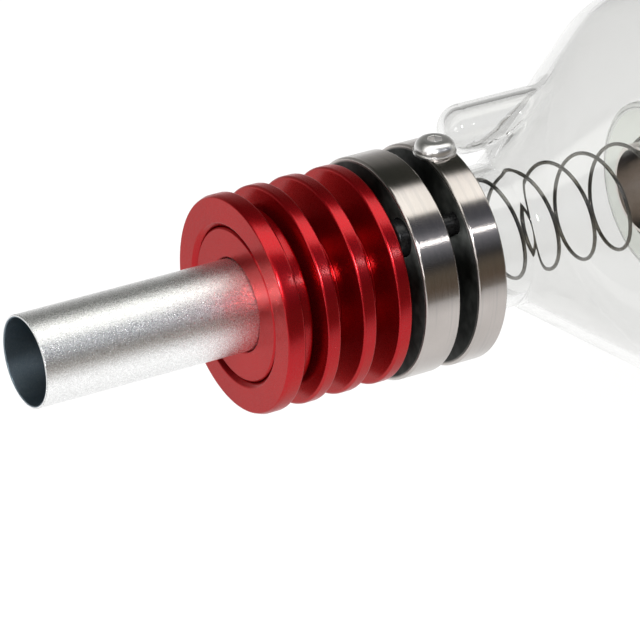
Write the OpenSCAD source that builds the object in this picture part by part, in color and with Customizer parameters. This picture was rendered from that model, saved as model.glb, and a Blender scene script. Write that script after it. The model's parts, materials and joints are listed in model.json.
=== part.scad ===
// Sealed glass CO2 laser tube with an output nozzle and a finned mirror cooler.
// The optical axis is X and the beam leaves toward -X. Stations (distances along
// the axis) count from the front face of the front mirror mount. The origin is on
// the axis, at the middle of the straight glass body that a clamp holds.

/* [Output nozzle] */
// Radius of the nozzle's bore
nozzle_bore_r = 8.05; // [7.2:0.05:9]
// Wall of the nozzle tube
nozzle_wall = 0.55; // [0.4:0.05:0.9]
// How far the nozzle stands out of the heat sink's face
nozzle_reach = 42.15; // [20:0.05:80]
// Radius of the flange on the nozzle's inner end
nozzle_flange_r = 11.6; // [10.6:0.1:12.6]
// Thickness of that flange
nozzle_flange_t = 2; // [1:0.1:2.6]
// Radius of the retainer disc that holds the nozzle
retainer_r = 14.4; // [13.6:0.1:15.4]
// Thickness of the retainer disc
retainer_t = 2.8; // [2:0.1:3]
// How far the retainer lies below the heat sink's face
retainer_recess = 0.4; // [0:0.05:1]

/* [Heat sink] */
// Radius of the fins and of the front disc
sink_r = 20.4; // [19:0.1:24]
// Thickness of the front disc
front_disc_t = 3.55; // [2.5:0.05:6]
// Radius of the step behind the front disc
step_r = 17; // [16.4:0.1:18.5]
// Length of that step
step_t = 3.45; // [3:0.05:6]
// Width of the slot between the step and the first fin
first_slot_w = 1; // [0.6:0.1:3]
// Number of fins behind the step
fin_count = 3; // [1:1:6]
// Thickness of a fin
fin_t = 2.8; // [1.5:0.1:4]
// Distance from one fin to the next
fin_pitch = 7.4; // [5:0.1:12]
// Gap between the last fin and the mirror mount
last_gap = 2.55; // [2.5:0.05:6]
// Radius of the core that carries the fins
core_r = 12; // [11:0.1:12.4]

/* [Mirrors] */
// Radius of both mirrors
mirror_r = 9; // [8.5:0.1:10]
// Thickness of both mirrors
mirror_t = 3; // [2:0.1:3.4]
// Thickness of the seal behind each mirror
seal_t = 1; // [0.6:0.1:1.4]
// Clear radius of the beam's path through the mounts
beam_r = 7; // [6:0.1:7.6]

/* [Mirror mounts] */
// Radius of the steel rings
flange_r = 21; // [20.6:0.1:26]
// Thickness of the ring that carries the mirror
mirror_ring_t = 7.2; // [7:0.1:12]
// Width of the open groove between the two rings
groove_w = 4; // [2:0.1:8]
// Thickness of the ring that carries the glass
glass_ring_t = 6; // [5.6:0.1:10]
// Radius of the thin neck that lets the mirror ring tilt
flexure_r = 9; // [8.4:0.1:11]
// Depth of the mirror ring's register for the heat sink's core
register_depth = 2; // [1:0.1:2.2]
// Depth of the socket that takes the end of the glass
socket_depth = 4; // [2:0.1:4.4]
// Radius of the circle that the adjusting screws stand on
screw_circle_r = 16.5; // [16.3:0.1:17]
// Clock angle of the first adjusting screw, from +Y toward +Z
first_screw_clock = 15; // [0:1:30]
// Number of adjusting screws in each mount
screw_count = 3; // [3:1:4]
// Radius of the screw threads
thread_r = 2; // [1.5:0.1:2.1]
// Radius of an adjusting screw's head
cap_head_r = 3.5; // [3:0.1:3.6]
// Height of an adjusting screw's head
cap_head_h = 2.8; // [2:0.1:2.8]
// Depth of the spot face under an adjusting screw's head
spot_depth = 0.6; // [0.4:0.1:1]
// Radius of the terminal screw's button head
button_r = 3.8; // [3.4:0.1:4.2]
// Height of the terminal screw's button head
button_h = 2.2; // [1.6:0.1:3]
// Length of the terminal screw under its head
terminal_screw_len = 5.6; // [4:0.1:5.8]

/* [Glass] */
// Radius of the glass body that a clamp holds
body_r = 40; // [38:0.5:45]
// Length of the straight glass body
body_len = 770; // [450:5:1200]
// Wall of the envelope
glass_wall = 1.8; // [1.4:0.1:2.4]
// Radius of the glass necks that enter the mounts
neck_r = 13.7; // [13.3:0.1:14]
// Length of glass neck between the front mount and the dome
neck_len = 10.8; // [8:0.1:30]
// Slope of the front dome, from the axis
dome_angle = 36; // [30:1:50]
// Radius of the fillet between the neck and the front dome
neck_fillet = 3; // [1:0.5:6]
// Radius of the shoulder between a dome and the body
shoulder_r = 22; // [15:0.5:24]
// Slope of the rear dome, from the axis
rear_dome_angle = 50; // [40:1:60]
// Length of the collar where the envelope is fused to the jacket
collar_len = 4; // [2:0.5:10]
// Radius of the sealed filling stub
stub_r = 4.8; // [4:0.1:5.2]
// Distance of the stub from the optical axis
stub_offset = 20.6; // [20:0.1:24]
// Clock angle of the stub, from +Y toward +Z
stub_clock = 59; // [40:1:75]
// Gap between the front mount and the stub's round end
stub_gap = 4.8; // [3:0.1:8]

/* [Water jacket and discharge tube] */
// Radius of the water jacket
jacket_r = 17.5; // [17:0.1:20]
// Wall of the water jacket
jacket_wall = 1.5; // [1.2:0.1:2]
// Distance from the front neck to the jacket's open rim
jacket_setback = 34.75; // [32:0.25:38]
// Depth of the open cup that holds the cathode
cup_depth = 50; // [46:0.5:70]
// Length of jacket that shows behind the rear dome
jacket_tail = 40; // [30:1:60]
// Radius of the discharge tube
tube_r = 6.5; // [6:0.1:6.8]
// Wall of the discharge tube
tube_wall = 1.5; // [1:0.1:2]
// How far the discharge tube stands into the cup and the anode chamber
tube_stand = 7; // [3:0.5:8]
// Radius of the gas return tube
return_r = 2.4; // [2:0.1:2.4]
// Wall of the gas return tube
return_wall = 0.8; // [0.5:0.1:1]
// Number of turns of the gas return tube
return_turns = 5; // [3:1:7]
// Length of the gas return tube's coil
return_len = 150; // [120:5:200]

/* [Water connections] */
// Radius of the glass tubes that carry the water
pipe_r = 4.5; // [4:0.1:4.6]
// Wall of those tubes
pipe_wall = 1.2; // [0.8:0.1:1.5]
// Radius of the end that the hose slides onto
hose_end_r = 5; // [4.8:0.1:5.4]
// Length of the end that the hose slides onto
hose_end_len = 16; // [10:0.5:18]
// Height of the inner water pipe above the optical axis
pipe_height = 27; // [26.5:0.5:29]
// Bend radius of the inner water pipe
pipe_bend = 7; // [6:0.5:7.5]

/* [Electrodes] */
// Radius of the cathode cylinder
cathode_r = 9; // [8.4:0.1:9.2]
// Length of the cathode cylinder
cathode_len = 40; // [25:1:42]
// Wall of both electrode cylinders
electrode_wall = 0.6; // [0.4:0.1:1]
// How far the cathode stands out in front of the jacket's rim
cathode_stand = 2.75; // [2:0.25:6]
// How far the cathode and its spring sit above the optical axis
cathode_rise = 1.1; // [0:0.1:1.6]
// Mean radius of the contact spring
spring_r = 9.7; // [9.6:0.1:10.2]
// Radius of the contact spring's wire
wire_r = 0.375; // [0.3:0.025:0.4]
// Pitch of the contact spring
spring_pitch = 7.9; // [6:0.1:10]
// How far the contact spring reaches over the cathode
spring_grip = 6; // [3:0.5:8]
// Clock angle at which the contact spring's coil starts
spring_start_clock = 267; // [0:1:359]
// Length of glass between the jacket and the rear mount
chamber_len = 44; // [42:1:70]
// Radius of the anode cylinder
anode_r = 9; // [8:0.1:10]
// Length of the anode cylinder
anode_len = 24; // [15:1:26]
// Radius of the wire that passes through the glass to the anode
pin_r = 0.8; // [0.5:0.1:1]
// Radius of the terminal outside the glass
terminal_r = 1.25; // [1.1:0.05:1.5]
// Length of the terminal outside the glass
terminal_len = 10; // [6:0.5:12]

/* [Rear cap] */
// How far the rear cap stands out of the rear mount
cap_reach = 7; // [5:0.5:15]
// Number of grip flutes round the rear cap
flute_count = 16; // [8:1:24]

/* [Hidden] */
$fn = 96;

// Small sizes that every piece shares
fit_gap = 0.05;     // between a piece and the socket that it is glued or fused into
slide_gap = 0.1;    // between the nozzle and the hole in its retainer
seat_gap = 0.2;     // between sprung metal and the glass that it stands against
edge = 0.35;        // bevel on turned edges
fine_edge = 0.12;   // bevel on thin walls
face_bevel = 0.95;  // length of the front disc's bevel
pocket_bevel = 0.9; // bevel round the retainer's pocket
over = 1;           // how far a cut runs past the surface that it opens

// Stations of the heat sink and the nozzle
hub_end_x = register_depth;
fins_len = fin_count * fin_t + (fin_count - 1) * (fin_pitch - fin_t);
first_fin_x = -last_gap - fins_len;
step_end_x = first_fin_x - first_slot_w;
disc_end_x = step_end_x - step_t;
face_x = disc_end_x - front_disc_t;
pocket_floor_x = face_x + retainer_recess + retainer_t + nozzle_flange_t;
mouth_x = face_x - nozzle_reach;
nozzle_r = nozzle_bore_r + nozzle_wall;

// Stations of the front mirror mount
mirror_end_x = register_depth + mirror_t;
pocket_end_x = mirror_end_x + seal_t;
glass_ring_x = mirror_ring_t + groove_w;
mount_len = glass_ring_x + glass_ring_t;
socket_x = mount_len - socket_depth;
screw_hole_end_x = mount_len - 1;
terminal_x = glass_ring_x + glass_ring_t / 2;
terminal_flat = flange_r - 0.6;
washer_t = 0.5;
washer_r = button_r + 0.2;
key_r = 1.45;

// Stations of the glass
neck_end_x = mount_len + neck_len;
front_dome_len = dome_length(neck_r, body_r, dome_angle, neck_fillet, shoulder_r);
body_start_x = neck_end_x + front_dome_len;
body_end_x = body_start_x + body_len;
body_mid_x = (body_start_x + body_end_x) / 2;
tail_hole_r = jacket_r + fit_gap;
rear_dome_len = dome_length(tail_hole_r + glass_wall, body_r, rear_dome_angle, neck_fillet, shoulder_r);
tail_x = body_end_x + rear_dome_len;
stub_end_x = mount_len + stub_gap;
outlet_boss_r = pipe_r + 1.2;
outlet_x = body_start_x - outlet_boss_r - 0.4;
boss_top = body_r + 1.5;

// Stations of the water jacket, the tubes and the electrodes
jacket_front_x = neck_end_x + jacket_setback;
cup_floor_x = jacket_front_x + cup_depth;
jacket_end_x = tail_x + collar_len + jacket_tail;
jacket_bore_r = jacket_r - jacket_wall;
drop_x = cup_floor_x + jacket_wall + pipe_r + 6;
inlet_x = tail_x + collar_len + jacket_tail / 2;
cathode_x = jacket_front_x - cathode_stand;
spring_front_x = socket_x + wire_r + fit_gap;
spring_end_x = cathode_x + spring_grip;
return_start_r = tube_r + return_r + 0.5;
return_swell = 2;
return_elbow_r = 4;
return_clock = 250;
return_exit_x = jacket_end_x - return_len - return_elbow_r;
rear_mount_x = jacket_end_x + chamber_len;
anode_mid_x = jacket_end_x + chamber_len / 2;
bead_r = 3;
bead_top = neck_r + 3;
first_support_x = drop_x + 25;
second_support_x = (first_support_x + return_exit_x) / 2;

// ---------------------------------------------------------------- curves

// A glass dome is an arc that leaves the small end, a cone, and an arc that
// arrives at the large end.
function dome_length(r0, r1, slope, arc0, arc1) =
    (arc0 + arc1) * sin(slope)
    + (r1 - r0 - (arc0 + arc1) * (1 - cos(slope))) / tan(slope);

function dome_curve(r0, r1, slope, arc0, arc1) =
    let (last = dome_length(r0, r1, slope, arc0, arc1))
    concat(
        [for (i = [0:8]) let (t = slope * i / 8) [arc0 * sin(t), r0 + arc0 * (1 - cos(t))]],
        [for (i = [0:14]) let (t = slope * (1 - i / 14)) [last - arc1 * sin(t), r1 - arc1 * (1 - cos(t))]]
    );

function shifted(points, x) = [for (p = points) [x + p[0], p[1]]];

function turned_back(points, x) =
    [for (i = [len(points) - 1:-1:0]) [x - points[i][0], points[i][1]]];

// The outside of a turned ring with bevelled edges
function ring_rim(x0, x1, r) = [[x0, r - edge], [x0 + edge, r], [x1 - edge, r], [x1, r - edge]];

function direction(v) = v / norm(v);

function tangent(path, i) =
    direction(path[min(i + 1, len(path) - 1)] - path[max(i - 1, 0)]);

// One normal for each point of a path, carried along it without twisting
function normals(path, normal, i = 0, done = []) =
    i == len(path) ? done :
    let (t = tangent(path, i), n = direction(normal - (normal * t) * t))
    normals(path, n, i + 1, concat(done, [n]));

function ring_points(path, side, r, sides) = [
    for (i = [0:len(path) - 1], k = [0:sides - 1])
        let (a = 360 * k / sides)
        path[i] + r * (cos(a) * side[i] + sin(a) * cross(tangent(path, i), side[i]))
];

function side_faces(rings, sides, first, outward) = [
    for (i = [0:rings - 2], k = [0:sides - 1], half = [0, 1])
        let (
            a = first + i * sides + k,
            b = first + i * sides + (k + 1) % sides,
            face = half == 0 ? [a, b, b + sides] : [a, b + sides, a + sides]
        )
        outward ? face : [face[2], face[1], face[0]]
];

// The flat ring that closes one end of a hollow sweep
function end_ring(outer, inner, sides, start) = [
    for (k = [0:sides - 1], half = [0, 1])
        let (
            n = (k + 1) % sides,
            face = half == 0 ? [outer + k, inner + k, inner + n] : [outer + k, inner + n, outer + n]
        )
        start ? face : [face[2], face[1], face[0]]
];

// ---------------------------------------------------------------- shared forms

module along_axis(x = 0) {
    translate([x - body_mid_x, 0, 0]) rotate([0, 90, 0]) children();
}

module at_station(x = 0) {
    translate([x - body_mid_x, 0, 0]) children();
}

// A solid of revolution about the optical axis from [station, radius] points
module turned(points) {
    along_axis() rotate_extrude() polygon([for (p = points) [p[1], p[0]]]);
}

module rod(x0, x1, r) {
    along_axis(x0) cylinder(r = r, h = x1 - x0);
}

module pipe(x0, x1, r_out, r_in) {
    difference() {
        rod(x0, x1, r_out);
        rod(x0 - over, x1 + over, r_in);
    }
}

// Puts its children at a clock angle and a distance from the axis
module clocked(clock, offset = 0) {
    rotate([clock, 0, 0]) translate([0, offset, 0]) children();
}

module each_screw() {
    for (i = [0:screw_count - 1])
        clocked(first_screw_clock + i * 360 / screw_count, screw_circle_r) children();
}

module at_rear() {
    translate([rear_mount_x + mount_len - 2 * body_mid_x, 0, 0]) mirror([1, 0, 0]) children();
}

// A tube swept along a path; r_in of 0 makes it a solid wire
module swept(path, r_out, r_in, sides, normal) {
    n = len(path);
    side = normals(path, normal);
    outer = ring_points(path, side, r_out, sides);
    last = (n - 1) * sides;
    if (r_in > 0)
        polyhedron(
            points = concat(outer, ring_points(path, side, r_in, sides)),
            faces = concat(
                side_faces(n, sides, 0, false),
                side_faces(n, sides, n * sides, true),
                end_ring(0, n * sides, sides, false),
                end_ring(last, n * sides + last, sides, true)
            )
        );
    else
        polyhedron(
            points = outer,
            faces = concat(
                side_faces(n, sides, 0, false),
                [[for (k = [0:sides - 1]) k], [for (k = [sides - 1:-1:0]) last + k]]
            )
        );
}

// A quarter bend in the X-Z plane about the origin, from below to the side
module quarter_bend(bend, r) {
    rotate([90, 0, 0]) rotate_extrude(angle = 90) translate([bend, 0]) circle(r = r, $fn = 48);
}

// A sprung ring on a tube, with three arms that stand against a larger tube.
// The smaller tube may sit above the axis of the larger one by rise.
module sprung_spider(x, ring_r, reach_r, width, strip, rise = 0) {
    inner_r = ring_r + fit_gap;
    middle_r = inner_r + strip / 2;
    foot_r = reach_r - seat_gap;
    translate([0, 0, rise]) pipe(x - width / 2, x + width / 2, inner_r + strip, inner_r);
    for (i = [0:2]) let (
        clock = 30 + 120 * i,
        root = rise * sin(clock) + sqrt(middle_r ^ 2 - (rise * cos(clock)) ^ 2)
    )
        at_station(x) rotate([clock, 0, 0]) {
            translate([-width / 2, root, -strip / 2])
                cube([width, foot_r - strip / 2 - root, strip]);
            rotate([-10, 0, 0]) rotate([0, 90, 0]) rotate([0, 0, 90])
                rotate_extrude(angle = 20)
                    translate([foot_r - strip, -width / 2]) square([strip, width]);
        }
}

// ---------------------------------------------------------------- output end

module output_nozzle() {
    flange_x = pocket_floor_x - nozzle_flange_t;
    color("gainsboro") turned([
        [mouth_x, nozzle_bore_r + fine_edge],
        [mouth_x, nozzle_r - fine_edge],
        [mouth_x + fine_edge, nozzle_r],
        [flange_x, nozzle_r],
        [flange_x, nozzle_flange_r - edge],
        [flange_x + edge, nozzle_flange_r],
        [pocket_floor_x, nozzle_flange_r],
        [pocket_floor_x, nozzle_bore_r],
        [mouth_x + fine_edge, nozzle_bore_r]
    ]);
}

module nozzle_retainer() {
    disc_x = face_x + retainer_recess;
    end_x = pocket_floor_x - nozzle_flange_t;
    hole_r = nozzle_r + slide_gap;
    color("crimson") turned([
        [disc_x, hole_r + edge],
        [disc_x, retainer_r - edge],
        [disc_x + edge, retainer_r],
        [end_x, retainer_r],
        [end_x, hole_r],
        [disc_x + edge, hole_r]
    ]);
}

module heat_sink() {
    pocket_r = retainer_r + slide_gap;
    face_r = sink_r - edge;
    outside = concat(
        [[face_x, 0], [face_x, face_r], [face_x + face_bevel, sink_r]],
        [[disc_end_x - edge, sink_r], [disc_end_x, sink_r - edge], [disc_end_x, step_r]],
        [[step_end_x - edge, step_r], [step_end_x, step_r - edge], [step_end_x, core_r]],
        [for (i = [0:fin_count - 1])
            let (x = first_fin_x + i * fin_pitch)
            each concat([[x, core_r]], ring_rim(x, x + fin_t, sink_r), [[x + fin_t, core_r]])],
        [[hub_end_x, core_r], [hub_end_x, 0]]
    );
    color("crimson") difference() {
        turned(outside);
        rod(face_x - over, pocket_floor_x, pocket_r);
        rod(face_x, hub_end_x + over, beam_r);
        turned([
            [face_x - over, 0],
            [face_x - over, pocket_r + pocket_bevel + over],
            [face_x + pocket_bevel, pocket_r],
            [face_x + pocket_bevel, 0]
        ]);
    }
}

module mirror_disc() {
    turned([
        [register_depth, 0],
        [register_depth, mirror_r - edge],
        [register_depth + edge, mirror_r],
        [mirror_end_x - edge, mirror_r],
        [mirror_end_x, mirror_r - edge],
        [mirror_end_x, 0]
    ]);
}

module mirror_seal() {
    pipe(mirror_end_x, pocket_end_x, mirror_r, beam_r + slide_gap);
}

module output_mirror() {
    color("goldenrod") mirror_disc();
}

module output_mirror_seal() {
    color("black") mirror_seal();
}

// ---------------------------------------------------------------- mirror mounts

// Two steel rings on one thin neck, turned from one bar
module mount_body() {
    difference() {
        turned(concat(
            [[0, 0]],
            ring_rim(0, mirror_ring_t, flange_r),
            [[mirror_ring_t, flexure_r], [glass_ring_x, flexure_r]],
            ring_rim(glass_ring_x, mount_len, flange_r),
            [[mount_len, 0]]
        ));
        rod(-over, register_depth, core_r + fit_gap);
        rod(0, pocket_end_x, mirror_r + fit_gap);
        rod(0, mount_len, beam_r);
        rod(socket_x, mount_len + over, neck_r + fit_gap);
        at_station() each_screw() {
            translate([-over, 0, 0]) rotate([0, 90, 0])
                cylinder(r = cap_head_r + fit_gap * 2, h = over + spot_depth);
            rotate([0, 90, 0]) cylinder(r = thread_r + fit_gap * 2, h = mirror_ring_t + over);
            translate([mirror_ring_t + groove_w / 2, 0, 0]) rotate([0, 90, 0])
                cylinder(r = thread_r + fit_gap / 2, h = screw_hole_end_x - mirror_ring_t - groove_w / 2);
        }
    }
}

module front_mirror_mount() {
    color("silver") difference() {
        mount_body();
        at_station(terminal_x) {
            translate([0, 0, terminal_flat]) cylinder(r = washer_r + fit_gap * 2, h = flange_r);
            translate([0, 0, terminal_flat + washer_t - terminal_screw_len - 0.3])
                cylinder(r = thread_r + fit_gap / 2, h = flange_r);
        }
    }
}

module cap_screw() {
    shank_len = screw_hole_end_x - spot_depth - 0.5;
    translate([spot_depth, 0, 0]) rotate([0, 90, 0]) {
        difference() {
            rotate_extrude() polygon([
                [0, -cap_head_h], [cap_head_r - edge, -cap_head_h],
                [cap_head_r, edge - cap_head_h], [cap_head_r, 0], [0, 0]
            ]);
            translate([0, 0, -cap_head_h - over]) cylinder(r = key_r, h = over + 1.5, $fn = 6);
        }
        cylinder(r = thread_r, h = shank_len);
    }
}

module adjusting_screws() {
    at_station() each_screw() cap_screw();
}

module front_adjusting_screws() {
    color("dimgray") adjusting_screws();
}

module terminal_screw() {
    // The button head is a low dome: an arc from the rim to the flat top
    top_r = button_r * 0.5;
    dome = [for (i = [0:8])
        let (t = 90 * i / 8)
        [top_r + (button_r - top_r) * cos(t), 0.35 + (button_h - 0.35) * sin(t)]];
    color("silver") at_station(terminal_x) translate([0, 0, terminal_flat + washer_t]) {
        difference() {
            rotate_extrude() polygon(concat([[0, 0], [button_r, 0]], dome, [[0, button_h]]));
            translate([0, 0, button_h - 1.3]) cylinder(r = key_r, h = 1.3 + over, $fn = 6);
        }
        translate([0, 0, -terminal_screw_len]) cylinder(r = thread_r, h = terminal_screw_len);
    }
}

module terminal_washer() {
    color("lightgray") at_station(terminal_x) translate([0, 0, terminal_flat]) difference() {
        cylinder(r = washer_r, h = washer_t);
        translate([0, 0, -over]) cylinder(r = thread_r + slide_gap, h = washer_t + 2 * over);
    }
}

// ---------------------------------------------------------------- glass

// The envelope's outer or inner surface, as a solid of revolution.
// inset is how far the surface lies inside the outer one.
module envelope_form(inset, reach) {
    neck = neck_r - inset;
    tail = tail_hole_r + glass_wall - inset;
    front = dome_curve(neck, body_r - inset, dome_angle, neck_fillet + inset, shoulder_r - inset);
    rear = dome_curve(tail, body_r - inset, rear_dome_angle, neck_fillet + inset, shoulder_r - inset);
    turned(concat(
        [[socket_x - reach, 0], [socket_x - reach, neck]],
        shifted(front, neck_end_x),
        turned_back(rear, tail_x),
        [[tail_x + collar_len + reach, tail], [tail_x + collar_len + reach, 0]]
    ));
}

module stub_form(r, end_x) {
    at_station() clocked(stub_clock, stub_offset) translate([end_x, 0, 0]) {
        rotate([0, 90, 0]) rotate_extrude() polygon(concat(
            [for (i = [0:6]) [r * sin(15 * i), r * (1 - cos(15 * i))]],
            [[r, neck_end_x + 18 - end_x], [0, neck_end_x + 18 - end_x]]
        ));
    }
}

module glass_envelope() {
    stub_wall = glass_wall * 0.7;
    color("lightcyan") difference() {
        union() {
            envelope_form(0, 0);
            stub_form(stub_r, stub_end_x);
            at_station(outlet_x) cylinder(r = outlet_boss_r, h = boss_top);
        }
        envelope_form(glass_wall, over);
        stub_form(stub_r - stub_wall, stub_end_x + stub_wall);
        at_station(outlet_x) cylinder(r = pipe_r + fit_gap, h = boss_top + over);
    }
}

module water_jacket() {
    rim = jacket_wall * 0.4;
    end_bevel = 2;
    color("lightcyan") difference() {
        turned([
            [jacket_front_x, 0],
            [jacket_front_x, jacket_r - rim],
            [jacket_front_x + rim, jacket_r],
            [jacket_end_x - end_bevel, jacket_r],
            [jacket_end_x, jacket_r - end_bevel],
            [jacket_end_x, 0]
        ]);
        rod(jacket_front_x - over, cup_floor_x, jacket_bore_r);
        rod(cup_floor_x + jacket_wall, jacket_end_x - jacket_wall - end_bevel / 2, jacket_bore_r);
        rod(cup_floor_x - over, jacket_end_x + over, tube_r + fit_gap);
        at_station(drop_x) cylinder(r = pipe_r + fit_gap, h = jacket_r + over);
        at_station(inlet_x) rotate([180, 0, 0]) cylinder(r = pipe_r + fit_gap, h = jacket_r + over);
        at_station(return_exit_x) clocked(return_clock) rotate([-90, 0, 0])
            cylinder(r = return_r + fit_gap, h = jacket_r + over);
        at_station(jacket_end_x - 5) clocked(return_clock, return_start_r) rotate([0, 90, 0])
            cylinder(r = return_r + fit_gap, h = 5 + over);
    }
}

module discharge_tube() {
    color("lightcyan")
        pipe(cup_floor_x - tube_stand, jacket_end_x + tube_stand, tube_r, tube_r - tube_wall);
}

// Both ends of the coil run along the axis, so that they pass straight through
// the jacket's end wall and into the elbow that opens into the reservoir.
function return_point(t) =
    let (
        turn = 360 * return_turns * (t - sin(360 * t) / (2 * PI)),
        a = return_clock + turn,
        r = return_start_r + return_swell * pow(sin(180 * t), 2)
    )
    [jacket_end_x - body_mid_x - return_len * t, r * cos(a), r * sin(a)];

function return_elbow_point(t) =
    let (
        r = return_start_r + return_elbow_r * (1 - cos(t)),
        x = jacket_end_x - body_mid_x - return_len - return_elbow_r * sin(t)
    )
    [x, r * cos(return_clock), r * sin(return_clock)];

module gas_return_coil() {
    steps = 20 * return_turns;
    mouth_r = jacket_r + 1.5;
    mouth = [return_exit_x - body_mid_x, mouth_r * cos(return_clock), mouth_r * sin(return_clock)];
    path = concat(
        [for (i = [0:steps]) return_point(i / steps)],
        [for (i = [1:4]) return_elbow_point(90 * i / 4)],
        [mouth]
    );
    color("lightcyan") swept(path, return_r, return_r - return_wall, 10, [0, 1, 0]);
}

// The outer or inner form of the pipe that carries water out of the jacket,
// over the reservoir and up through the front dome
module outlet_run(r, reach) {
    foot = jacket_bore_r;
    at_station(drop_x) translate([0, 0, foot - reach])
        cylinder(r = r, h = pipe_height - pipe_bend - foot + reach);
    at_station(drop_x - pipe_bend) translate([0, 0, pipe_height - pipe_bend])
        quarter_bend(pipe_bend, r);
    at_station(outlet_x + pipe_bend) translate([0, 0, pipe_height]) rotate([0, 90, 0])
        cylinder(r = r, h = drop_x - outlet_x - 2 * pipe_bend);
    at_station(outlet_x + pipe_bend) translate([0, 0, pipe_height + pipe_bend])
        rotate([0, 180, 0]) quarter_bend(pipe_bend, r);
    at_station(outlet_x) translate([0, 0, pipe_height + pipe_bend])
        cylinder(r = r, h = boss_top + hose_end_len + reach - pipe_height - pipe_bend);
}

// A hose end, standing up from the origin
module hose_end() {
    lead = 1.5;
    rotate_extrude() polygon([
        [0, 0], [hose_end_r, 0], [hose_end_r, hose_end_len],
        [hose_end_r - lead / 2, hose_end_len + lead], [0, hose_end_len + lead]
    ]);
}

module water_outlet() {
    color("lightcyan") difference() {
        union() {
            outlet_run(pipe_r, 0);
            at_station(outlet_x) translate([0, 0, boss_top + fit_gap]) hose_end();
        }
        outlet_run(pipe_r - pipe_wall, 4);
    }
}

module water_inlet() {
    foot = jacket_bore_r;
    shoulder = jacket_r + 2;
    color("lightcyan") at_station(inlet_x) rotate([180, 0, 0]) difference() {
        union() {
            translate([0, 0, foot]) cylinder(r = pipe_r, h = shoulder - foot + over);
            translate([0, 0, shoulder]) hose_end();
        }
        cylinder(r = pipe_r - pipe_wall, h = body_r + over);
    }
}

module jacket_supports() {
    color("silver") for (x = [first_support_x, second_support_x])
        sprung_spider(x, jacket_r, body_r - glass_wall, 8, 0.8);
}

// ---------------------------------------------------------------- electrodes

module contact_spring() {
    turns = (spring_end_x - spring_front_x) / spring_pitch;
    steps = ceil(turns * 26);
    path = [for (i = [0:steps])
        let (
            x = spring_front_x + (spring_end_x - spring_front_x) * i / steps,
            a = spring_start_clock + 360 * turns * i / steps
        )
        [x - body_mid_x, spring_r * cos(a), cathode_rise + spring_r * sin(a)]];
    color("dimgray") swept(path, wire_r, 0, 8, [1, 0, 0]);
}

// A cylinder rolled from sheet, with a thick rim at each end and rolled beads
module rolled_cylinder(x0, x1, r, beads) {
    bead = 0.35;
    bead_w = 1.4;
    skin = r - bead;
    step = (x1 - x0) / (beads + 1);
    outside = concat(
        [[x0, r - bead], [x0 + bead, r], [x0 + bead_w, r], [x0 + bead_w + bead, skin]],
        [for (i = [1:beads])
            let (x = x0 + i * step)
            each [[x - bead_w / 2 - bead, skin], [x - bead_w / 2, r],
                  [x + bead_w / 2, r], [x + bead_w / 2 + bead, skin]]],
        [[x1 - bead_w - bead, skin], [x1 - bead_w, r], [x1 - bead, r], [x1, r - bead]]
    );
    difference() {
        turned(concat([[x0, 0]], outside, [[x1, 0]]));
        rod(x0 - over, x1 + over, skin - electrode_wall);
    }
}

module cathode() {
    color("slategray") translate([0, 0, cathode_rise])
        rolled_cylinder(cathode_x, cathode_x + cathode_len, cathode_r, 4);
}

module cathode_supports() {
    color("silver") for (x = [cathode_x + cathode_len * 0.4, cathode_x + cathode_len * 0.8])
        sprung_spider(x, cathode_r, jacket_bore_r, 4, 0.4, cathode_rise);
}

module anode_chamber() {
    color("lightcyan") difference() {
        union() {
            rod(jacket_end_x, rear_mount_x + socket_depth, neck_r);
            at_station(anode_mid_x) cylinder(r = bead_r, h = bead_top);
        }
        rod(jacket_end_x - over, rear_mount_x + socket_depth + over, neck_r - glass_wall);
        at_station(anode_mid_x) cylinder(r = pin_r + fit_gap, h = bead_top + over);
    }
}

module anode() {
    color("slategray")
        rolled_cylinder(anode_mid_x - anode_len / 2, anode_mid_x + anode_len / 2, anode_r, 1);
}

module anode_pin() {
    color("silver") at_station(anode_mid_x) {
        translate([0, 0, anode_r + fit_gap]) cylinder(r = pin_r, h = bead_top - anode_r);
        translate([0, 0, bead_top + fit_gap]) cylinder(r = terminal_r, h = terminal_len);
    }
}

// ---------------------------------------------------------------- rear end

module rear_mirror_mount() {
    color("silver") at_rear() mount_body();
}

module rear_adjusting_screws() {
    color("dimgray") at_rear() adjusting_screws();
}

module rear_mirror() {
    color("gold") at_rear() mirror_disc();
}

module rear_mirror_seal() {
    color("black") at_rear() mirror_seal();
}

module rear_cap() {
    flute_r = 1;
    flute_len = cap_reach - 2;
    color("silver") at_rear() difference() {
        turned([
            [-cap_reach, 0],
            [-cap_reach, core_r - 2 * edge],
            [2 * edge - cap_reach, core_r],
            [register_depth, core_r],
            [register_depth, 0]
        ]);
        at_station(-cap_reach - over) for (i = [0:flute_count - 1])
            clocked(360 * i / flute_count, core_r + flute_r * 0.4) rotate([0, 90, 0])
                cylinder(r = flute_r, h = flute_len + over, $fn = 24);
    }
}

output_nozzle();
nozzle_retainer();
heat_sink();
output_mirror();
output_mirror_seal();
front_mirror_mount();
front_adjusting_screws();
terminal_screw();
terminal_washer();
glass_envelope();
water_jacket();
discharge_tube();
gas_return_coil();
water_outlet();
water_inlet();
jacket_supports();
contact_spring();
cathode();
cathode_supports();
anode_chamber();
anode();
anode_pin();
rear_mirror_mount();
rear_adjusting_screws();
rear_mirror();
rear_mirror_seal();
rear_cap();
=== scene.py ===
"""CO2 laser tube: looks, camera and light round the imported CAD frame. Metres, +Z up, axis along X."""
import json
import math

import bmesh
import bpy
from mathutils import Matrix, Vector


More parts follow.
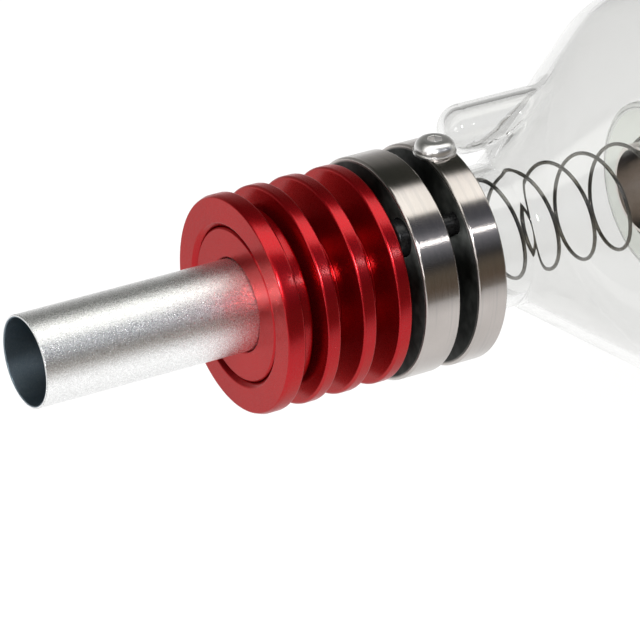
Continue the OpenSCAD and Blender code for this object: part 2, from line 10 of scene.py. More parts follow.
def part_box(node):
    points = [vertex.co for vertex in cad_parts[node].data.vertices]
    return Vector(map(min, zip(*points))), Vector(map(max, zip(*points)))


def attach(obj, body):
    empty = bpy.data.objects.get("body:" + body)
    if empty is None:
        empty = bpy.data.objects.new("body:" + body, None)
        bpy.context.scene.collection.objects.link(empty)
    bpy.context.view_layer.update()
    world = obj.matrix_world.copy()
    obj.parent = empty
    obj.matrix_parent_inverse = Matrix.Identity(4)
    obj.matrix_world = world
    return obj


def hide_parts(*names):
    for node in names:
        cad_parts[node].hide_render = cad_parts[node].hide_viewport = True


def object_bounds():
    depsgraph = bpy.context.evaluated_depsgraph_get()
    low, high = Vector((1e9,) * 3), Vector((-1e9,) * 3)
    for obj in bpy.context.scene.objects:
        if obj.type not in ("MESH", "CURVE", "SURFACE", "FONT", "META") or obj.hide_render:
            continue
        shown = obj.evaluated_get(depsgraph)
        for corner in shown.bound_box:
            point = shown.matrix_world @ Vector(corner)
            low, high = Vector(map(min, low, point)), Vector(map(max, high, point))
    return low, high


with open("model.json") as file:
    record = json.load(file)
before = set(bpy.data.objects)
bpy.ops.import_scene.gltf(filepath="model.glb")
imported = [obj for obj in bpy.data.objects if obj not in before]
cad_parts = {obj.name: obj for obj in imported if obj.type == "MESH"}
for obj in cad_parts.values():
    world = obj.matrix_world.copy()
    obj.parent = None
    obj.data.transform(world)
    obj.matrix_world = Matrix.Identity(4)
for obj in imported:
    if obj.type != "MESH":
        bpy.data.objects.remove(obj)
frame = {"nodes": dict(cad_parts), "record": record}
cad_low, cad_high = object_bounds()
nodes = frame["nodes"]

MM = 0.001
BODY = "root"
LOW, HIGH = 0, 1        # the corners of a box

# Stations along the axis count from the front face of the front mirror mount, in millimetres.
FLANGE_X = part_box("front_mirror_mount")[LOW].x


def station(x_mm):
    return FLANGE_X + x_mm * MM


def station_of(x):
    return (x - FLANGE_X) / MM


def box_end(node, end, axis):
    """Where a CAD node's box ends, in millimetres: a station in X, or a distance from the axis."""
    place = getattr(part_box(node)[end], axis)
    return round(station_of(place) if axis == "x" else place / MM, 3)


# ---------------------------------------------------------------- camera

AZIMUTH = math.radians(-30.352)
ELEVATION = math.radians(27.951)
FRAME_PX = 640
FOCAL_PX = 4660.0
SENSOR_MM = 36.0
AIM_PX = (367.225, 269.434)     # where the flange's centre falls in the 640-pixel frame
PX_PER_MM = 5.468               # scale of the picture at the flange
NEAREST, FARTHEST = 0.05, 20    # what the camera sees, in metres


def make_camera():
    """A long lens that looks down on the head from the beam's side, fitted to the photo's rims."""
    back = Vector((math.sin(AZIMUTH) * math.cos(ELEVATION),
                   -math.cos(AZIMUTH) * math.cos(ELEVATION),
                   math.sin(ELEVATION)))
    right = Vector((math.cos(AZIMUTH), math.sin(AZIMUTH), 0))
    up = right.cross(-back)
    distance = FOCAL_PX / PX_PER_MM
    aside = (AIM_PX[0] - FRAME_PX / 2) / FOCAL_PX * distance
    above = -(AIM_PX[1] - FRAME_PX / 2) / FOCAL_PX * distance
    place = back * distance - right * aside - up * above
    data = bpy.data.cameras.new("camera")
    data.sensor_width = SENSOR_MM
    data.lens = FOCAL_PX / FRAME_PX * SENSOR_MM
    data.clip_start = NEAREST
    data.clip_end = FARTHEST
    camera = bpy.data.objects.new("camera", data)
    camera.location = Vector((FLANGE_X, 0, 0)) + place * MM
    camera.rotation_mode = "QUATERNION"
    camera.rotation_quaternion = (-back).to_track_quat("-Z", "Y")
    bpy.context.scene.collection.objects.link(camera)
    bpy.context.scene.camera = camera


# ---------------------------------------------------------------- node trees

class Tree:
    """A short way to write a node tree: each call adds a node and returns its output."""

    def __init__(self, tree):
        self.tree = tree

    def node(self, kind, **settings):
        made = self.tree.nodes.new(kind)
        for name, value in settings.items():
            setattr(made, name, value)
        return made

    def link(self, source, target):
        self.tree.links.new(source, target)

    def fill(self, socket, value):
        """Links another node's output to the socket, or writes a plain value in it."""
        if isinstance(value, bpy.types.NodeSocket):
            self.link(value, socket)
        else:
            socket.default_value = value

    def put(self, made, **inputs):
        for name, value in inputs.items():
            self.fill(made.inputs[name.replace("_", " ")], value)
        return made

    def math(self, operation, *values):
        made = self.node("ShaderNodeMath", operation=operation)
        for socket, value in zip(made.inputs, values):
            self.fill(socket, value)
        return made.outputs[0]

    def split(self, vector):
        """The vector's X, Y and Z."""
        return self.put(self.node("ShaderNodeSeparateXYZ"), Vector=vector).outputs

    def ramp(self, value, stops):
        """A colour for the value, from (where, colour) stops."""
        made = self.put(self.node("ShaderNodeValToRGB"), Fac=value)
        band = made.color_ramp.elements
        while len(band) < len(stops):
            band.new(0.5)
        for element, (where, colour) in zip(band, stops):
            element.position = where
            element.color = (*colour, 1)
        return made.outputs["Color"]

    def span(self, value, low, high, to_low, to_high):
        """The value's place between low and high, read off between two other numbers and held there."""
        made = self.node("ShaderNodeMapRange")
        for socket, given in zip(made.inputs, (value, low, high, to_low, to_high)):
            self.fill(socket, given)
        return made.outputs[0]

    def choose(self, share, first, second):
        """The first shader, which gives way to the second as the share goes from 0 to 1."""
        made = self.node("ShaderNodeMixShader")
        for socket, source in zip(made.inputs, (share, first.outputs[0], second.outputs[0])):
            self.link(source, socket)
        return made.outputs[0]


class Shader(Tree):
    """A material, whose patterns are fixed to the part's own frame."""

    def __init__(self, name):
        self.material = bpy.data.materials.new(name)
        self.material.use_nodes = True
        super().__init__(self.material.node_tree)
        self.bsdf = self.tree.nodes["Principled BSDF"]
        self.output = self.tree.nodes["Material Output"]

    def place(self):
        return self.node("ShaderNodeTexCoord").outputs["Object"]

    def noise(self, scale, detail=3.0, roughness=0.5, vector=None):
        made = self.put(self.node("ShaderNodeTexNoise"), Scale=scale, Detail=detail, Roughness=roughness)
        self.link(vector or self.place(), made.inputs["Vector"])
        return made.outputs["Fac"]

    def speckle(self, scale):
        return self.put(self.node("ShaderNodeTexVoronoi"), Scale=scale, Vector=self.place()).outputs

    def stretched(self, scale):
        return self.put(self.node("ShaderNodeMapping"), Scale=scale, Vector=self.place()).outputs["Vector"]

    def mix(self, share, first, second, blend="MIX"):
        made = self.node("ShaderNodeMix", data_type="RGBA", blend_type=blend)
        share_in, first_in, second_in, mixed_out = 0, 6, 7, 2     # the node's sockets for colours
        self.fill(made.inputs[share_in], share)
        self.fill(made.inputs[first_in], first)
        self.fill(made.inputs[second_in], second)
        return made.outputs[mixed_out]

    def bump(self, height, distance, strength=1.0):
        made = self.put(self.node("ShaderNodeBump"), Strength=strength, Distance=distance, Height=height)
        self.link(made.outputs["Normal"], self.bsdf.inputs["Normal"])

    def brushed_round(self, amount):
        """Fine turning marks run round the axis, so the highlight spreads along it."""
        made = self.node("ShaderNodeTangent", direction_type="RADIAL", axis="X")
        self.put(self.bsdf, Tangent=made.outputs["Tangent"], Anisotropic=amount, Anisotropic_Rotation=0.25)

    def beyond(self, radius_mm, blur_mm):
        """1 where a surface lies farther from the optical axis than the radius, and 0 inside it."""
        _, y, z = self.split(self.place())
        squares = self.math("ADD", self.math("MULTIPLY", y, y), self.math("MULTIPLY", z, z))
        radius = self.math("SQRT", squares)
        return self.span(radius, (radius_mm - blur_mm) * MM, (radius_mm + blur_mm) * MM, 0.0, 1.0)


# ---------------------------------------------------------------- materials

PIPE_SKIN_MM = 8.3      # just inside the beam pipe's outer face
RING_SKIN_MM = 20.35    # between the mount's rings and the floor of its groove


def blasted_aluminium():
    """Bead-blasted clear anodising, whose fine pits sparkle, over a bore painted dark as painted shade and
    dotted with painted glints.
    """
    s = Shader("nozzle_aluminium")
    outside = s.beyond(PIPE_SKIN_MM, 0.02)
    grain = s.noise(4600, 2, 0.7)
    crystal = s.span(s.speckle(3300)["Color"], 0.2, 0.8, 0.84, 0.97)
    pits = s.ramp(s.noise(2400, 3, 0.8), [(0.26, (0.72, 0.72, 0.73)), (0.42, (0.95, 0.95, 0.95))])
    skin = s.mix(0.5, crystal, pits, "MULTIPLY")
    # painted shade: the bore is coloured dark blue-grey for the shade deep inside it, and its tiny pale
    # spots are painted glints
    bore = s.ramp(s.speckle(2300)["Distance"],
                  [(0.03, (0.75, 0.80, 0.84)), (0.07, (0.22, 0.27, 0.31)), (1.0, (0.18, 0.23, 0.27))])
    metallic = s.span(outside, 0.0, 1.0, 1.0, 0.96)
    polish = s.math("MULTIPLY", outside, -0.10)
    rough = s.math("ADD", polish, s.span(grain, 0.3, 0.7, 0.32, 0.44))
    s.put(s.bsdf, Metallic=metallic, Base_Color=s.mix(outside, bore, skin), Roughness=rough)
    s.bump(s.math("ADD", grain, s.noise(9500, 1)), 0.00004)
    return s.material


def red_anodised():
    """Red dye under a satin clear oxide layer: a deep red metal with a paler, sharper sheen on top."""
    s = Shader("red_anodised")
    grain = s.noise(6500, 2, 0.6)
    cloud = s.noise(60, 4)
    dye = s.ramp(cloud, [(0.3, (0.36, 0.003, 0.007)), (0.7, (0.42, 0.005, 0.010))])
    s.put(s.bsdf, Metallic=0.88, Base_Color=dye, Roughness=s.span(grain, 0.3, 0.7, 0.25, 0.33),
          Specular_Tint=(0.62, 0.10, 0.12, 1), Coat_Weight=0.4, Coat_Roughness=0.18)
    s.bump(grain, 0.00002, 0.5)
    s.brushed_round(0.4)
    return s.material


def turned_steel():
    """Turned stainless steel with fine marks round the axis. Down in the groove between the rings it is
    painted near black as painted shade, and made rougher."""
    s = Shader("turned_steel")
    outside = s.beyond(RING_SKIN_MM, 0.25)
    lines = s.noise(9000, 2, 0.6, s.stretched((1.0, 0.03, 0.03)))
    score = s.noise(1500, 1, 0.5, s.stretched((1.0, 0.02, 0.02)))
    smear = s.noise(120, 4)
    tone = s.ramp(smear, [(0.3, (0.42, 0.387, 0.367)), (0.7, (0.47, 0.433, 0.412))])
    bright = s.mix(s.span(score, 0.60, 0.66, 0.0, 0.35), tone, (0.38, 0.36, 0.35, 1))
    # painted shade: down in the groove the steel is coloured near black and mottled, for the shade there
    groove_painted_shade = s.ramp(s.noise(420, 4), [(0.35, (0.030, 0.032, 0.030)), (0.68, (0.075, 0.078, 0.074))])
    dullness = s.span(outside, 0.0, 1.0, 0.34, 0.0)
    rough = s.math("ADD", s.span(lines, 0.3, 0.7, 0.17, 0.23), dullness)
    s.put(s.bsdf, Metallic=1.0, Base_Color=s.mix(outside, groove_painted_shade, bright), Roughness=rough)
    s.bump(lines, 0.00001, 0.3)
    s.brushed_round(0.95)
    return s.material


def black_oxide():
    """The dull black finish of socket cap screws."""
    s = Shader("black_oxide")
    grain = s.noise(2500, 3)
    black = s.ramp(grain, [(0.3, (0.010, 0.010, 0.011)), (0.7, (0.03, 0.03, 0.03))])
    s.put(s.bsdf, Metallic=0.7, Base_Color=black, Roughness=s.span(grain, 0.3, 0.7, 0.25, 0.4))
    return s.material


def bright_stainless():
    s = Shader("stainless_fastener")
    grain = s.noise(3000, 3)
    rough = s.span(grain, 0.3, 0.7, 0.28, 0.36)
    s.put(s.bsdf, Metallic=1.0, Base_Color=(0.80, 0.79, 0.78, 1), Roughness=rough)
    return s.material


def plain_metal(name, dark, light, rough_low, rough_high, scale=900.0):
    """A bare metal, clouded between two tones and two degrees of polish."""
    s = Shader(name)
    cloud = s.noise(scale, 4)
    s.put(s.bsdf, Metallic=1.0, Base_Color=s.ramp(cloud, [(0.3, dark), (0.7, light)]),
          Roughness=s.span(cloud, 0.3, 0.7, rough_low, rough_high))
    return s.material


def clear_glass(name, tint):
    """Blown borosilicate. Where a ray has bounced more than five times in the walls, the glass gives a
    painted glow instead: a plain pale grey emission, though it is no lamp."""
    guided_bounces = 5.5
    s = Shader(name)
    s.put(s.bsdf, Base_Color=(*tint, 1), Roughness=0.0, IOR=1.45, Transmission_Weight=1.0)
    s.bump(s.noise(55, 2), 0.0004, 0.12)
    guided = s.math("GREATER_THAN", s.node("ShaderNodeLightPath").outputs["Ray Depth"], guided_bounces)
    # painted glow: a pale grey emission stands in for the light that the walls guide
    painted_glow = s.put(s.node("ShaderNodeEmission"), Color=(0.72, 0.72, 0.71, 1), Strength=1.0)
    s.link(s.choose(guided, s.bsdf, painted_glow), s.output.inputs["Surface"])
    return s.material


def seal_rubber():
    s = Shader("seal_rubber")
    black = s.ramp(s.noise(1800, 3), [(0.3, (0.018, 0.018, 0.018)), (0.7, (0.035, 0.035, 0.035))])
    s.put(s.bsdf, Base_Color=black, Roughness=0.65)
    return s.material


def amber_window():
    """Zinc selenide, the mirror's base, which is a clear amber."""
    s = Shader("output_window")
    s.put(s.bsdf, Base_Color=(0.95, 0.62, 0.12, 1), Roughness=0.02, IOR=2.4, Transmission_Weight=0.8)
    return s.material


MATERIALS = {
    "nozzle_aluminium": blasted_aluminium(),
    "red_anodised": red_anodised(),
    "turned_steel": turned_steel(),
    "stainless_fastener": bright_stainless(),
    "black_oxide": black_oxide(),
    "clear_glass": clear_glass("clear_glass", (0.868, 0.868, 0.862)),
    "jacket_glass": clear_glass("jacket_glass", (0.83, 0.855, 0.81)),
    "output_window": amber_window(),
    "mirror_coating": plain_metal("mirror_coating", (0.9, 0.62, 0.28), (0.95, 0.7, 0.35), 0.02, 0.05),
    "seal_rubber": seal_rubber(),
    "electrode_metal": plain_metal("electrode_metal", (0.70, 0.655, 0.615), (0.84, 0.80, 0.76),
                                   0.14, 0.24, scale=300.0),
    "spring_wire": plain_metal("spring_wire", (0.09, 0.083, 0.07), (0.18, 0.17, 0.15),
                               0.06, 0.12, scale=2000.0),
    "support_steel": plain_metal("support_steel", (0.5, 0.49, 0.48), (0.66, 0.65, 0.64), 0.15, 0.3),
    "cap_aluminium": plain_metal("cap_aluminium", (0.68, 0.68, 0.69), (0.78, 0.78, 0.79),
                                 0.22, 0.35, scale=3000.0),
}
SLOT_OF_NODE = {part["node"]: part["material_slot"] for part in frame["record"]["subparts"]}


def dress_cad_nodes():
    for name, made in nodes.items():
        finish = MATERIALS[SLOT_OF_NODE[name]]
        made.data.materials.clear()
        made.data.materials.append(finish)


# ---------------------------------------------------------------- pieces finer than the CAD meshes

WELD = 0.002 * MM                   # split corners of a CAD mesh lie closer together than this
GLASS_WELD = 0.01 * MM              # the slivers that the glass booleans leave are shorter
FLAT_ANGLE = math.radians(0.4)      # faces that meet at less are one flat or one band
SMOOTH_ANGLE = math.radians(28)     # edges sharper than this are broken by a round
SEAM_ANGLE = math.radians(16)       # glass that meets at more was never blown so, and is relaxed
CREASE_ANGLE = math.radians(50)     # glass that meets at more keeps its crease


def stand_in(name, node, mesh):
    """Puts a finer piece in a CAD node's place, with that node's finish."""
    piece = bpy.data.objects.new(name, mesh)
    bpy.context.scene.collection.objects.link(piece)
    mesh.materials.append(MATERIALS[SLOT_OF_NODE[node]])
    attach(piece, BODY)
    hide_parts(node)
    return piece


def mesh_of(made, name):
    mesh = bpy.data.meshes.new(name)
    made.to_mesh(mesh)
    made.free()
    return mesh


def soften(node, width_mm, segments=2, tidy=True):
    """The CAD node's own shape with its edges broken by a small round, as turning and deburring
    leave them."""
    made = bmesh.new()
    made.from_mesh(nodes[node].data)
    bmesh.ops.remove_doubles(made, verts=made.verts, dist=WELD)
    if tidy:
        bmesh.ops.dissolve_limit(made, angle_limit=FLAT_ANGLE, verts=made.verts, edges=made.edges)
    for face in made.faces:
        face.smooth = True
    piece = stand_in(node + "_softened", node, mesh_of(made, node))
    bevel = piece.modifiers.new("deburred", "BEVEL")
    bevel.width = width_mm * MM
    bevel.segments = segments
    bevel.limit_method = "ANGLE"
    bevel.angle_limit = SMOOTH_ANGLE
    bevel.harden_normals = True
    bevel.use_clamp_overlap = False
    flat = piece.modifiers.new("flat_faces", "WEIGHTED_NORMAL")
    flat.mode = "FACE_AREA"
    flat.weight = 100
    flat.keep_sharp = False
    return piece


# ---------------------------------------------------------------- sweeps and turned solids

def off_axis(r_mm, angle):
    """How far Y and Z are from the optical axis, in metres, at an angle from +Y towards +Z."""
    return r_mm * MM * math.cos(angle), r_mm * MM * math.sin(angle)


def straight(start, end, steps):
    """Points from the start to one step short of the end."""
    (x0, r0), (x1, r1) = start, end
    return [(x0 + (x1 - x0) * i / steps, r0 + (r1 - r0) * i / steps) for i in range(steps)]


def arc(radius, slope, steps):
    """Points from a level start, as (run, rise), round an arc until it has turned by the slope."""
    angles = (slope * i / steps for i in range(steps + 1))
    return [(radius * math.sin(t), radius * (1 - math.cos(t))) for t in angles]


def skin(made, first, second):
    """The band of faces between two rings of vertices."""
    count = len(first)
    for k in range(count):
        n = (k + 1) % count
        made.faces.new((first[k], first[n], second[n], second[k]))


def lathe(profile, sides):
    """A closed solid of revolution about the optical axis, from (station, radius) pairs."""
    made = bmesh.new()
    front, back = (made.verts.new((station(x), 0, 0)) for x in (profile[0][0], profile[-1][0]))
    angles = [math.tau * k / sides for k in range(sides)]
    rings = [[made.verts.new((station(x), *off_axis(r, t))) for t in angles] for x, r in profile]
    for first, second in zip(rings, rings[1:]):
        skin(made, first, second)
    for k in range(sides):
        n = (k + 1) % sides
        made.faces.new((front, rings[0][n], rings[0][k]))
        made.faces.new((back, rings[-1][k], rings[-1][n]))
    bmesh.ops.recalc_face_normals(made, faces=made.faces)
    return made


def wound(path, radii_mm, sides, first_side=Vector((1, 0, 0))):
    """A round wire swept along points in metres, or a tube where a second radius gives its bore."""
    made = bmesh.new()
    neighbours = zip([path[0], *path], [*path[1:], path[-1]])
    tangents = [(after - before).normalized() for before, after in neighbours]
    angles = [math.tau * k / sides for k in range(sides)]
    skins = []
    for radius in radii_mm:
        rings = []
        side = first_side
        for point, along in zip(path, tangents):
            side = (side - along * side.dot(along)).normalized()
            up = along.cross(side)
            spokes = (side * math.cos(t) + up * math.sin(t) for t in angles)
            rings.append([made.verts.new(point + spoke * radius * MM) for spoke in spokes])
        for first, second in zip(rings, rings[1:]):
            skin(made, first, second)
        skins.append(rings)
    outer, inner = skins[0], skins[-1]
    for end in (0, -1):
        if len(radii_mm) == 1:
            made.faces.new(outer[end])
        else:
            skin(made, outer[end], inner[end])
    bmesh.ops.recalc_face_normals(made, faces=made.faces)
    for face in made.faces:
        face.smooth = len(face.verts) == 4
    return made


def as_object(made, name):
    piece = bpy.data.objects.new(name, mesh_of(made, name))
    bpy.context.scene.collection.objects.link(piece)
    return piece


def combined(base, steps):
    """The base mesh after the boolean steps, each an operation and a mesh. No tool is left behind."""
    body = as_object(base, "whole")
    tools = []
    for operation, tool in steps:
        tools.append(as_object(tool, "tool"))
        modifier = body.modifiers.new(operation, "BOOLEAN")
        modifier.operation = operation
        modifier.solver = "MANIFOLD"
        modifier.object = tools[-1]
    bpy.context.view_layer.update()
    solved = body.evaluated_get(bpy.context.evaluated_depsgraph_get())
    mesh = bpy.data.meshes.new_from_object(solved)
    for thing in (body, *tools):
        old = thing.data
        bpy.data.objects.remove(thing)
        bpy.data.meshes.remove(old)
    return mesh


# ---------------------------------------------------------------- the blown glass

# Lengths are millimetres and places are stations. The CAD source has the same sizes.
FIT_GAP = 0.05
MOUNT_END = box_end("front_mirror_mount", HIGH, "x")
NECK_START = box_end("glass_envelope", LOW, "x")
NECK_END = 28.0
NECK_R = 13.7
BODY_R = box_end("glass_envelope", HIGH, "y")
GLASS_WALL = 1.8
FRONT_SLOPE = math.radians(36)
REAR_SLOPE = math.radians(50)
FILLET_R = 3.0
SHOULDER_R = 22.0
TAIL_END = box_end("glass_envelope", HIGH, "x")
TAIL_START = TAIL_END - 4.0
JACKET_R = box_end("water_jacket", HIGH, "z")
JACKET_END = box_end("water_jacket", HIGH, "x")
TAIL_R = JACKET_R + FIT_GAP + GLASS_WALL
STUB_R = 4.8
STUB_WALL = 1.26
STUB_OUT = 20.6
STUB_CLOCK = math.radians(59)
STUB_NOSE = MOUNT_END + 4.8
STUB_ROOT = 46.0
STUB_ASIDE = Vector((0, STUB_OUT * math.cos(STUB_CLOCK), STUB_OUT * math.sin(STUB_CLOCK))) * MM
PIPE_R = 4.5
HOSE_END_R = box_end("water_outlet", HIGH, "y")
OUTLET = box_end("water_outlet", LOW, "x") + HOSE_END_R
BOSS_R = PIPE_R + 1.2
BOSS_TOP = box_end("glass_envelope", HIGH, "z")
CLEAR = 0.1     # how far a cutting tool passes the glass

# How finely the glass is divided, so that no facet shows in what it refracts
BODY_SIDES = 224
PIPE_SIDES = 72
NECK_STEPS = 12
FILLET_STEPS = 14
SLOPE_STEPS = 24
SHOULDER_STEPS = 30
NOSE_STEPS = 12
STUB_STEPS = 30


def dome(r0, r1, slope, fillet_r, shoulder_r):
    """A blown dome's profile: a fillet out of the neck, a straight slope and a shoulder onto the body."""
    turned_rise = (fillet_r + shoulder_r) * (1 - math.cos(slope))
    length = (fillet_r + shoulder_r) * math.sin(slope) + (r1 - r0 - turned_rise) / math.tan(slope)
    fillet = [(x, r0 + rise) for x, rise in arc(fillet_r, slope, FILLET_STEPS)]
    shoulder = [(length - x, r1 - rise) for x, rise in reversed(arc(shoulder_r, slope, SHOULDER_STEPS))]
    return fillet + straight(fillet[-1], shoulder[0], SLOPE_STEPS)[1:] + shoulder


def envelope_form(inset, reach):
    """The envelope's outer form, or with an inset the hollow in it, which reaches out at both ends."""
    neck_r, body_r, tail_r = NECK_R - inset, BODY_R - inset, TAIL_R - inset
    fillet_r, shoulder_r = FILLET_R + inset, SHOULDER_R - inset
    front = dome(neck_r, body_r, FRONT_SLOPE, fillet_r, shoulder_r)
    rear = dome(tail_r, body_r, REAR_SLOPE, fillet_r, shoulder_r)
    profile = straight((NECK_START - reach, neck_r), (NECK_END, neck_r), NECK_STEPS)
    profile += [(NECK_END + x, r) for x, r in front]
    profile += [(TAIL_START - x, r) for x, r in reversed(rear)]
    profile.append((TAIL_END + reach, tail_r))
    return lathe(profile, BODY_SIDES)


def stub_form(r, nose_x):
    """The closed tube beside the neck, where the tube was pumped out and sealed off: round nosed."""
    angles = (math.pi / 2 * (i + 0.5) / NOSE_STEPS for i in range(NOSE_STEPS))
    nose = [(nose_x + r * (1 - math.cos(t)), r * math.sin(t)) for t in angles]
    tube = [*straight((nose_x + r, r), (STUB_ROOT, r), STUB_STEPS), (STUB_ROOT, r)]
    made = lathe(nose + tube, PIPE_SIDES)
    bmesh.ops.translate(made, verts=made.verts, vec=STUB_ASIDE)
    return made


def upright(r, top, x):
    """A round bar that stands on the optical axis: the outlet's boss, or the bore through it."""
    made = bmesh.new()
    middle = Matrix.Translation((station(x), 0, top * MM / 2))
    bmesh.ops.create_cone(made, cap_ends=True, segments=PIPE_SIDES, radius1=r * MM, radius2=r * MM,
                          depth=top * MM, matrix=middle)
    return made


def fuse(made, near, reach_mm, rounds):
    """Relaxes the glass round the seams, so that two tubes run into each other as in one melt."""
    made.normal_update()

    def at_seam(vertex):
        bends = (e.calc_face_angle(0) for e in vertex.link_edges if len(e.link_faces) == 2)
        return any(bend > SEAM_ANGLE for bend in bends)

    growing = [v for v in made.verts if near(v.co) and at_seam(v)]
    seam_of = {v: v.co.copy() for v in growing}
    while growing:
        grown = []
        for v in growing:
            for e in v.link_edges:
                other = e.other_vert(v)
                in_reach = (other.co - seam_of[v]).length < reach_mm * MM
                if in_reach and other not in seam_of and near(other.co):
                    seam_of[other] = seam_of[v]
                    grown.append(other)
        growing = grown
    for _ in range(rounds):
        bmesh.ops.smooth_vert(made, verts=list(seam_of), factor=0.5,
                              use_axis_x=True, use_axis_y=True, use_axis_z=True)


def blown_envelope():
    """The glass envelope in one melt with its pumping stub, and with a boss for the water outlet."""
    mesh = combined(envelope_form(0, 0), [
        ("UNION", stub_form(STUB_R, STUB_NOSE)),
        ("UNION", upright(BOSS_R, BOSS_TOP, OUTLET)),
        ("DIFFERENCE", envelope_form(GLASS_WALL, CLEAR)),
        ("DIFFERENCE", stub_form(STUB_R - STUB_WALL, STUB_NOSE + STUB_WALL)),
        ("DIFFERENCE", upright(PIPE_R + FIT_GAP, BOSS_TOP + CLEAR, OUTLET)),
    ])
    made = bmesh.new()
    made.from_mesh(mesh)
    bpy.data.meshes.remove(mesh)
    bmesh.ops.remove_doubles(made, verts=made.verts, dist=GLASS_WELD)

    def by_stub(point):
        seam_margin, root_margin = 5, 6
        aside = Vector((0, point.y, point.z)) - STUB_ASIDE
        before_body = station_of(point.x) < STUB_ROOT + root_margin
        return before_body and aside.length < (STUB_R + seam_margin) * MM

    fuse(made, by_stub, reach_mm=3.0, rounds=24)
    for face in made.faces:
        face.smooth = True
    for edge in made.edges:
        edge.smooth = len(edge.link_faces) == 2 and edge.calc_face_angle(0) < CREASE_ANGLE
    stand_in("blown_envelope", "glass_envelope", mesh_of(made, "blown_envelope"))


# ---------------------------------------------------------------- the spring and the gas return

def round_spring():
    """The contact spring: a plain helix from its seat in the mount to its grip on the cathode."""
    wire_r, coil_r, pitch, grip = 0.375, 9.7, 7.9, 6.0
    turn_steps, sides = 64, 14
    rise = 1.1      # it sits as far above the optical axis as the cathode does
    clock = math.radians(267)
    start = NECK_START + wire_r + FIT_GAP
    end = box_end("cathode", LOW, "x") + grip
    turns = (end - start) / pitch
    steps = round(turns * turn_steps)
    path = []
    for i in range(steps + 1):
        angle = clock + math.tau * turns * i / steps
        aside = coil_r * math.cos(angle) * MM
        height = (rise + coil_r * math.sin(angle)) * MM
        path.append(Vector((station(start + (end - start) * i / steps), aside, height)))
    stand_in("round_spring", "contact_spring", mesh_of(wound(path, [wire_r], sides), "round_spring"))


def round_coil():
    """The gas return tube: it leaves the jacket's end, winds round the discharge tube and turns out
    by an elbow."""
    tube_r, tube_wall, elbow_r = 2.4, 0.8, 4.0
    turns, length, swell = 5, 150.0, 2.0
    clock = math.radians(250)
    start_r = box_end("discharge_tube", HIGH, "z") + tube_r + 0.5
    mouth_r = JACKET_R + 1.5
    turn_steps, elbow_steps, sides = 48, 10, 20
    path = []
    for i in range(turns * turn_steps + 1):
        t = i / (turns * turn_steps)
        angle = clock + math.tau * turns * (t - math.sin(math.tau * t) / math.tau)
        r = start_r + swell * math.sin(math.pi * t) ** 2
        path.append(Vector((station(JACKET_END - length * t), *off_axis(r, angle))))
    elbow = arc(elbow_r, math.pi / 2, elbow_steps)[1:]
    for run, rise in elbow:
        path.append(Vector((station(JACKET_END - length - run), *off_axis(start_r + rise, clock))))
    path.append(Vector((station(JACKET_END - length - elbow_r), *off_axis(mouth_r, clock))))
    tube = wound(path, [tube_r, tube_r - tube_wall], sides, first_side=Vector((0, 1, 0)))
    stand_in("round_coil", "gas_return_coil", mesh_of(tube, "round_coil"))


# How wide the rounds on the edges of turned and screwed pieces are, in millimetres
EDGE_BREAKS = {
    "heat_sink": 0.2,
    "nozzle_retainer": 0.08,
    "output_nozzle": 0.1,
    "front_mirror_mount": 0.12,
    "front_adjusting_screws": 0.12,
    "terminal_washer": 0.06,
    "terminal_screw": 0.1,
}


def finer_pieces():
    for node, width in EDGE_BREAKS.items():
        soften(node, width)
    jacket = soften("water_jacket", 0.5, segments=5, tidy=False)    # its rim is melted round
    jacket.data.materials[0] = MATERIALS["jacket_glass"]
    blown_envelope()
    round_spring()
    round_coil()


# ---------------------------------------------------------------- stage and light

FLOOR_DROP = 0.16               # the sheet lies this far under the part, in metres
FLOOR_SIZE = (8, 6.4)
FLOOR_Y = 2.6
FLOOR_SHADE = 0.3               # what lamps and shadows act on; the rest of its white is its own
FLOOR_GLOW = 0.74

# What a polished tube reflects: soft boxes and dark gaps that run along the axis, as (degrees round
# the axis from +Y over +Z, colour). Below the horizon it is the room past the sheet. The stops were
# set from colours measured round the photo's steel rings, allowing for the steel's own
# colour, and then adjusted against the render. Half of them stay within 15 % of a measured one.
SKY_BAND = [
    (0, (0.62, 0.62, 0.62)),
    (14, (0.38, 0.38, 0.37)),
    (30, (0.20, 0.20, 0.19)),
    (42, (0.055, 0.058, 0.05)),
    (74, (0.045, 0.048, 0.04)),
    (78, (2.00, 2.00, 1.93)),
    (108, (2.08, 2.08, 1.98)),
    (111, (0.07, 0.075, 0.09)),
    (128, (0.11, 0.12, 0.145)),
    (140, (0.30, 0.32, 0.38)),
    (154, (0.13, 0.14, 0.16)),
    (163, (0.055, 0.055, 0.056)),
    (174, (0.17, 0.145, 0.11)),
    (188, (0.17, 0.13, 0.095)),
    (205, (0.30, 0.28, 0.26)),
    (235, (0.6, 0.6, 0.6)),
    (270, (0.8, 0.8, 0.8)),
    (359, (0.62, 0.62, 0.62)),
]


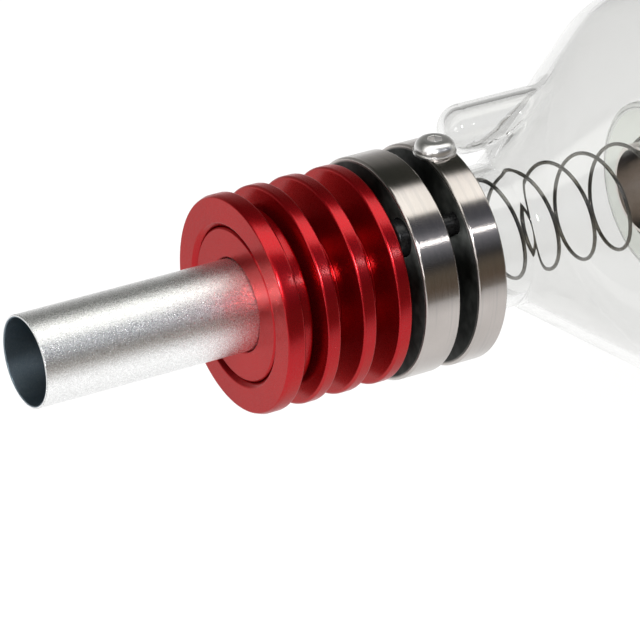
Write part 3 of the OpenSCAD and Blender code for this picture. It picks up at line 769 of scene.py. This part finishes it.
def make_world():
    """Plain white to the eye and through glass, and the band of soft boxes to light and to metal."""
    world = bpy.data.worlds.new("studio")
    bpy.context.scene.world = world
    world.use_nodes = True
    world.node_tree.nodes.clear()
    w = Tree(world.node_tree)

    _, y, z = w.split(w.node("ShaderNodeTexCoord").outputs["Generated"])
    turn = w.math("FRACT", w.math("DIVIDE", w.math("ARCTAN2", z, y), math.tau))
    brightest = max(max(colour) for _, colour in SKY_BAND)
    stops = [(angle / 360, [channel / brightest for channel in colour]) for angle, colour in SKY_BAND]
    strips = w.put(w.node("ShaderNodeBackground"), Color=w.ramp(turn, stops), Strength=brightest)
    white = w.put(w.node("ShaderNodeBackground"), Color=(1, 1, 1, 1), Strength=1.0)

    path = w.node("ShaderNodeLightPath").outputs
    unreflected = w.math("SUBTRACT", 1.0, w.math("MINIMUM", path["Glossy Depth"], 1.0))
    through_glass = w.math("MULTIPLY", path["Is Transmission Ray"], unreflected)
    seen = w.math("MAXIMUM", path["Is Camera Ray"], through_glass)
    glints_in_glass = w.math("MULTIPLY", w.math("MINIMUM", path["Transmission Depth"], 1.0), 0.2)
    plain = w.math("MAXIMUM", seen, glints_in_glass)
    background = w.choose(plain, strips, white)
    w.link(background, w.node("ShaderNodeOutputWorld").inputs["Surface"])


def make_floor():
    """A white sheet under the tube that ends a little in front of it, as the photo's reflections show."""
    s = Shader("floor")
    path = s.node("ShaderNodeLightPath").outputs
    mirrored = s.math("MAXIMUM", path["Is Glossy Ray"], path["Is Transmission Ray"])
    seen = s.math("MAXIMUM", path["Is Camera Ray"], mirrored)
    _, y, _ = s.split(s.node("ShaderNodeNewGeometry").outputs["Position"])
    fade = s.span(y, -0.60, -0.30, 0.25, 1.0)
    dimmed = s.mix(path["Is Glossy Ray"], (1, 1, 1, 1), fade)
    glow = s.math("MULTIPLY", seen, s.math("MULTIPLY", dimmed, FLOOR_GLOW))
    s.put(s.bsdf, Base_Color=(FLOOR_SHADE, FLOOR_SHADE, FLOOR_SHADE, 1), Roughness=0.9,
          Specular_IOR_Level=0.0, Emission_Color=(1, 1, 1, 1), Emission_Strength=glow)
    bpy.ops.mesh.primitive_plane_add(size=1, location=(0, FLOOR_Y, cad_low.z - FLOOR_DROP))
    floor = bpy.context.object
    floor.scale = (*FLOOR_SIZE, 1)
    floor.name = "floor"
    floor.data.materials.append(s.material)


def make_lamp(name, place, target, size, watts, shape="RECTANGLE", glossy=False):
    """An area lamp that faces the target. Only a glossy one shows in metal and glass."""
    data = bpy.data.lights.new(name, "AREA")
    data.shape = shape
    data.size, data.size_y = size
    data.energy = watts
    lamp = bpy.data.objects.new(name, data)
    lamp.location = place
    lamp.rotation_mode = "QUATERNION"
    lamp.rotation_quaternion = (Vector(target) - Vector(place)).to_track_quat("-Z", "Y")
    lamp.visible_glossy = glossy
    lamp.visible_transmission = glossy
    bpy.context.scene.collection.objects.link(lamp)


def make_lights():
    """Two fill lamps, and three small ones whose glints the photo shows on the head."""
    head = Vector((station(0), 0, 0))
    along, outward = 0.446, 0.895       # how a tube along X throws the camera's view on
    glint_turn = math.radians(140)      # where round that throw the small spot stands
    towards_spot = Vector((along, outward * math.cos(glint_turn), outward * math.sin(glint_turn)))
    towards_rims = Vector((-0.89, -0.40, 0.20))
    over_camera = Vector((-0.446, -0.686, 0.575))
    make_lamp("fill_above", (0, -0.4, 1.6), (0, 0, 0), (2.4, 1.6), 9)
    make_lamp("fill_front", (station(-500), -1.1, 0.5), head, (1.0, 1.0), 1.5)
    make_lamp("spot", head + 1.6 * towards_spot, head, (0.12, 0.12), 0.7, shape="DISK", glossy=True)
    make_lamp("edge_glint", head + 1.5 * towards_rims, head, (0.22, 0.8), 3.0, glossy=True)
    make_lamp("over_camera", head + 1.6 * over_camera, head, (0.17, 0.26), 15.0, glossy=True)


# ---------------------------------------------------------------- build

make_camera()
make_world()
make_floor()
make_lights()
dress_cad_nodes()
finer_pieces()

scene = bpy.context.scene
scene.view_settings.view_transform = "Standard"
